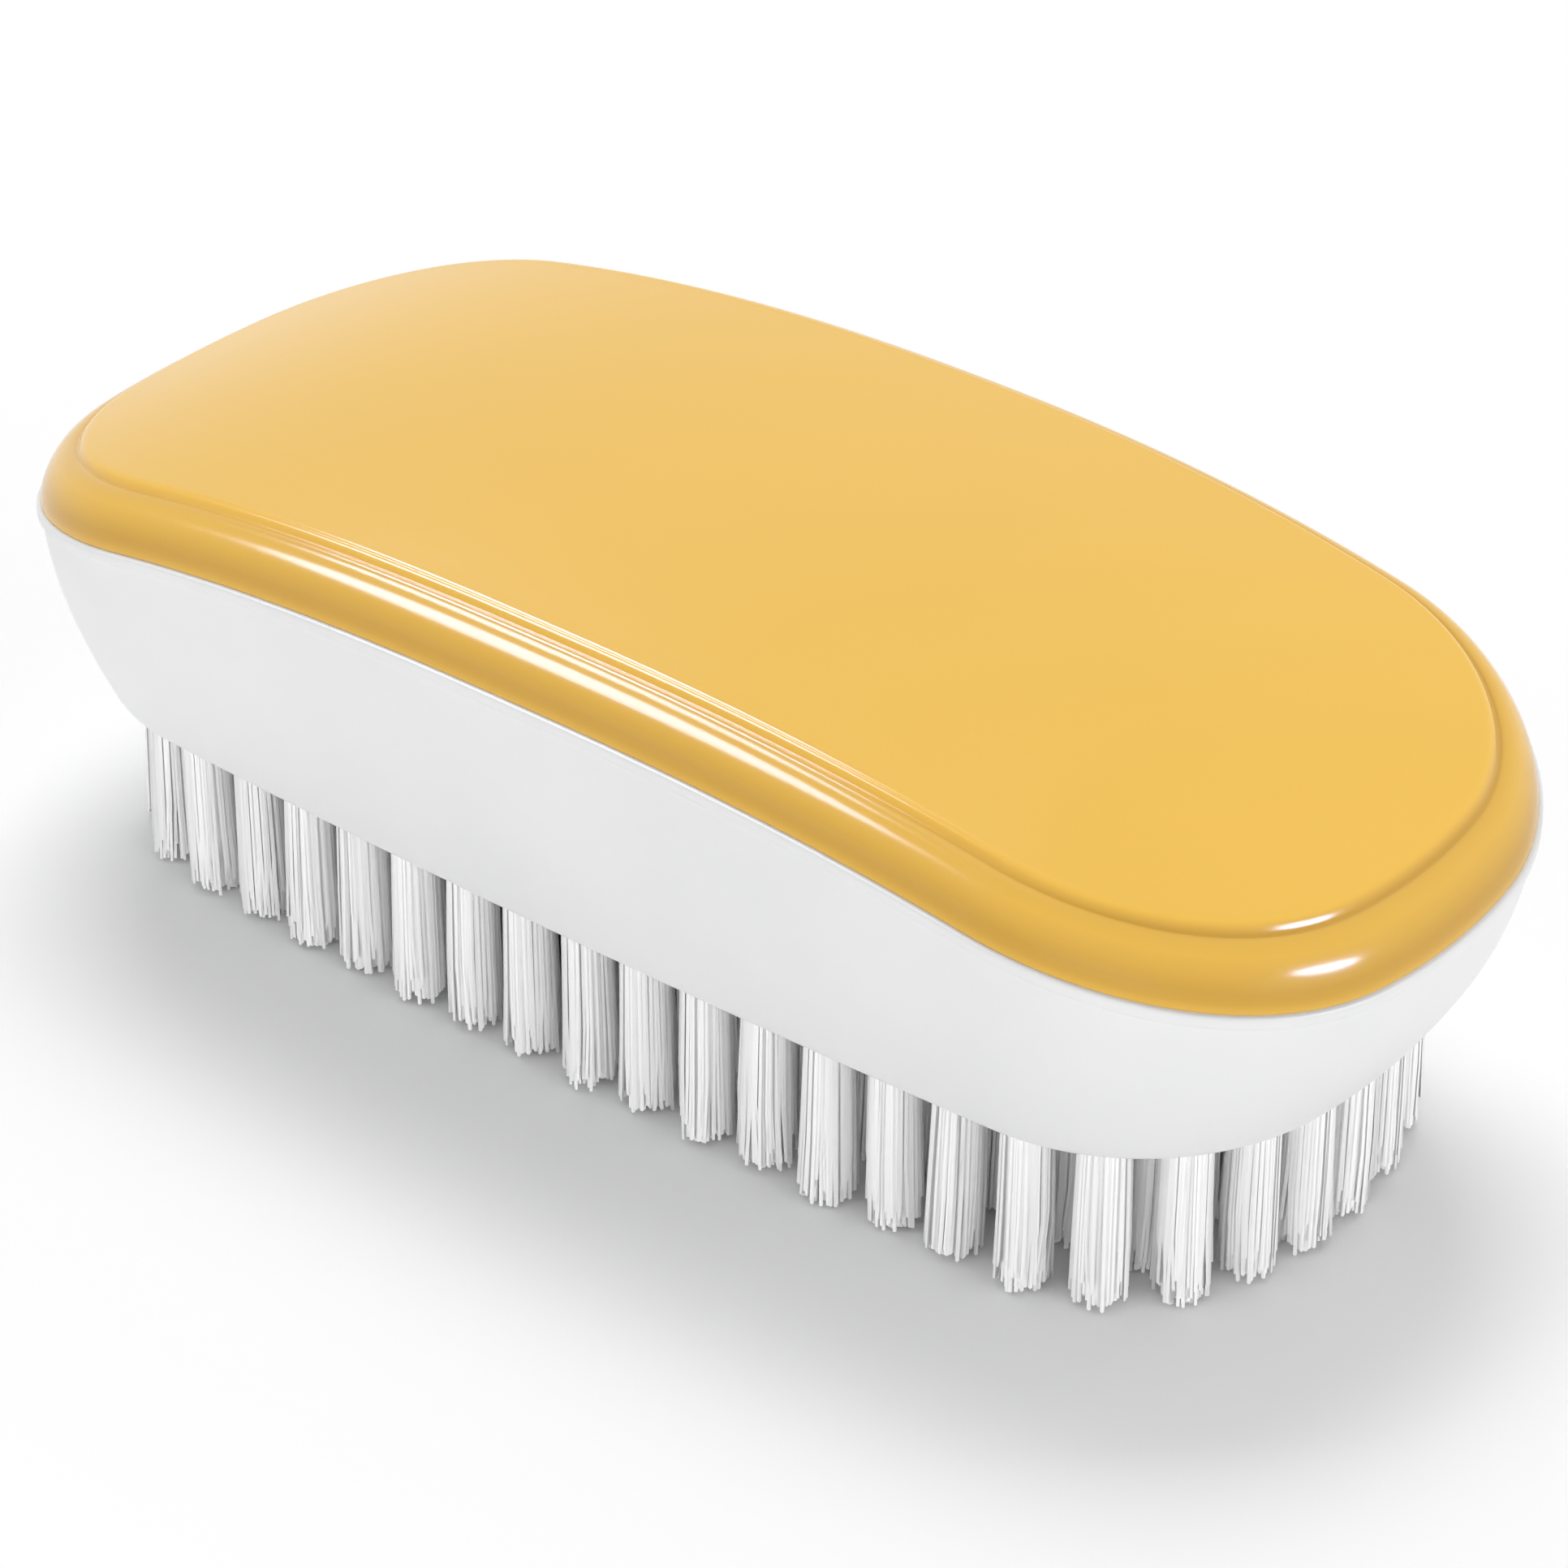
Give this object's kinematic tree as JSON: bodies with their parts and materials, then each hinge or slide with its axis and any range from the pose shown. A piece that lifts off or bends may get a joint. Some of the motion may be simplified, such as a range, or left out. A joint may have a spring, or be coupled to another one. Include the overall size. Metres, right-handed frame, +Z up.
{
  "type": "cleaning brush",
  "caption": "Hand-held scrubbing brush: a white bowl-sided body with an arched yellow cover hooked onto it and rows of white bristle tufts underneath.",
  "frame": {"origin": "centre of the brush on the plane that the bristle tips stand on", "axes": "+X along the brush's length, +Y across it, +Z up from the bristle tips to the cover"},
  "size_m": [0.1458, 0.0666, 0.0503],
  "materials": {
    "cover": "high-gloss moulded yellow",
    "body": "satin moulded white",
    "bristle": "white nylon filament"
  },
  "bodies": {
    "root": {"top_cover": "cover", "body_shell": "body", "tuft_row_01": "bristle", "tuft_row_02": "bristle", "tuft_row_03": "bristle", "tuft_row_04": "bristle", "tuft_row_05": "bristle", "tuft_row_06": "bristle", "tuft_row_07": "bristle", "tuft_row_08": "bristle", "tuft_row_09": "bristle", "tuft_row_10": "bristle", "tuft_row_11": "bristle", "tuft_row_12": "bristle", "tuft_row_13": "bristle", "tuft_row_14": "bristle", "tuft_row_15": "bristle", "tuft_row_16": "bristle", "tuft_row_17": "bristle", "tuft_row_18": "bristle", "tuft_row_19": "bristle"}
  },
  "joints": []
}
